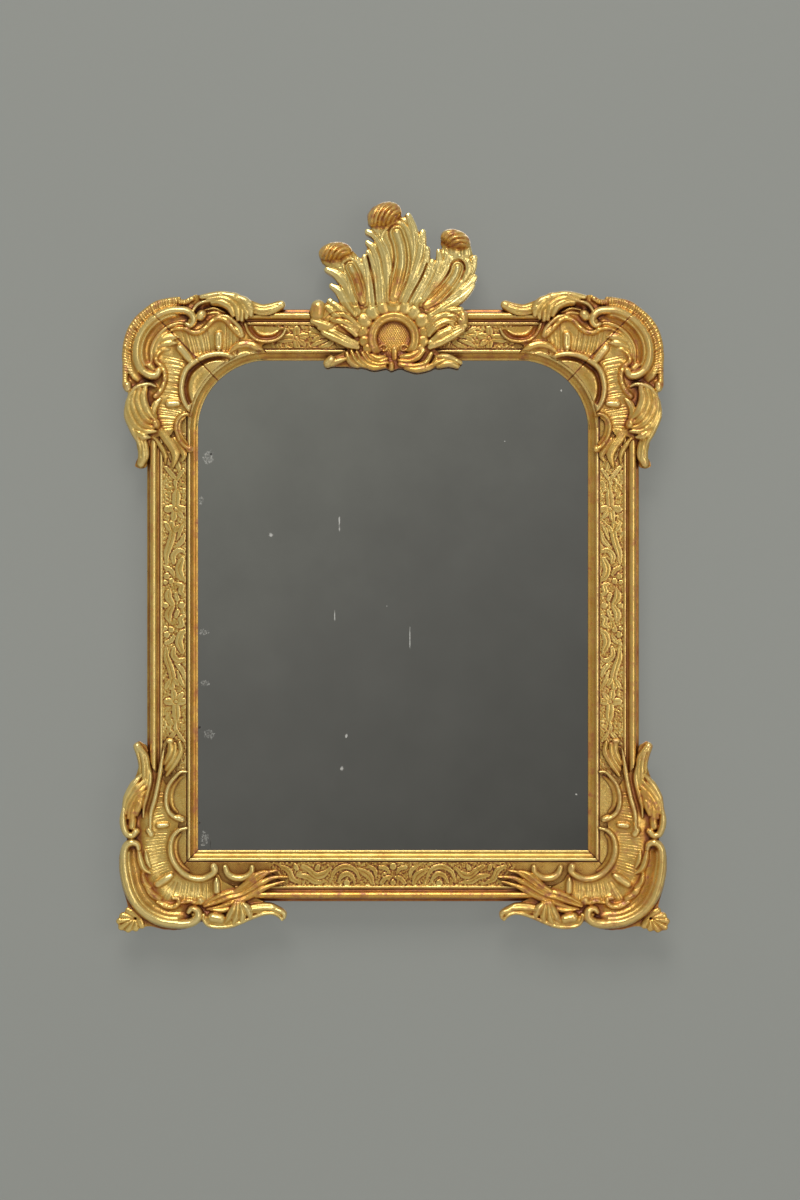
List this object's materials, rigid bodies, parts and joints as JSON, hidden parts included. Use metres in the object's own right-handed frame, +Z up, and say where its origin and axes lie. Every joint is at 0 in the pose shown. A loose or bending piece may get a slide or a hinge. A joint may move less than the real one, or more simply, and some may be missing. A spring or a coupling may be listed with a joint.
{
  "type": "wall mirror",
  "caption": "Carved and gilt rococo wall mirror: moulded frame with scrolled shell corners, a plumed crest, an old plate and a swinging hanging ring.",
  "frame": {"origin": "middle of the hanging ring's hinge axis, on the back of the top rail", "axes": "+Z up the wall, +X to the viewer's right, the mirror faces -Y and its back faces +Y"},
  "size_m": [0.714, 0.0683, 0.946],
  "materials": {
    "gilt_wood": "burnished gold leaf over red bole and gesso, worn on the ridges, toned in the hollows",
    "bare_pine": "bare aged pine, darkened by age",
    "plate_glass": "old clear plate glass",
    "tin_silvering": "greyed tin silvering with small blemishes",
    "forged_iron": "dark forged iron"
  },
  "bodies": {
    "frame": {"backboard_bottom": "bare_pine", "backboard_middle": "bare_pine", "backboard_sprigs": "forged_iron", "backboard_top": "bare_pine", "bottom_rail": "gilt_wood", "crest_beads": "gilt_wood", "crest_board": "gilt_wood", "crest_brace_left": "bare_pine", "crest_brace_right": "bare_pine", "crest_brace_screws": "forged_iron", "crest_lower_leaf_left": "gilt_wood", "crest_lower_leaf_right": "gilt_wood", "crest_plume_centre": "gilt_wood", "crest_plume_left": "gilt_wood", "crest_plume_right": "gilt_wood", "crest_shell_floor": "gilt_wood", "crest_shell_rim": "gilt_wood", "crest_side_leaf_left": "gilt_wood", "crest_side_leaf_right": "gilt_wood", "crest_tip_centre": "gilt_wood", "crest_tip_left": "gilt_wood", "crest_tip_right": "gilt_wood", "glazing_blocks": "bare_pine", "hanger_screws": "forged_iron", "hanger_strap": "forged_iron", "key_lower_left": "bare_pine", "key_lower_right": "bare_pine", "key_upper_left": "bare_pine", "key_upper_right": "bare_pine", "left_stile": "gilt_wood", "lower_left_corner_scroll": "gilt_wood", "lower_left_rail_leaf": "gilt_wood", "lower_left_shell_rail": "gilt_wood", "lower_left_shell_stile": "gilt_wood", "lower_left_sight_scroll": "gilt_wood", "lower_left_stile_leaf": "gilt_wood", "lower_right_corner_scroll": "gilt_wood", "lower_right_rail_leaf": "gilt_wood", "lower_right_shell_rail": "gilt_wood", "lower_right_shell_stile": "gilt_wood", "lower_right_sight_scroll": "gilt_wood", "lower_right_stile_leaf": "gilt_wood", "mirror_glass": "plate_glass", "right_stile": "gilt_wood", "silvering": "tin_silvering", "top_rail": "gilt_wood", "upper_left_corner_scroll": "gilt_wood", "upper_left_rail_leaf": "gilt_wood", "upper_left_shell_rail": "gilt_wood", "upper_left_shell_stile": "gilt_wood", "upper_left_sight_scroll": "gilt_wood", "upper_left_stile_leaf": "gilt_wood", "upper_right_corner_scroll": "gilt_wood", "upper_right_rail_leaf": "gilt_wood", "upper_right_shell_rail": "gilt_wood", "upper_right_shell_stile": "gilt_wood", "upper_right_sight_scroll": "gilt_wood", "upper_right_stile_leaf": "gilt_wood"},
    "ring": {"hanger_ring": "forged_iron"}
  },
  "joints": [
    {"name": "ring_hinge", "type": "hinge", "parent": "frame", "child": "ring", "pos_m": [0, 0, 0], "axis": [1, 0, 0], "range_deg": [0, 180]}
  ]
}
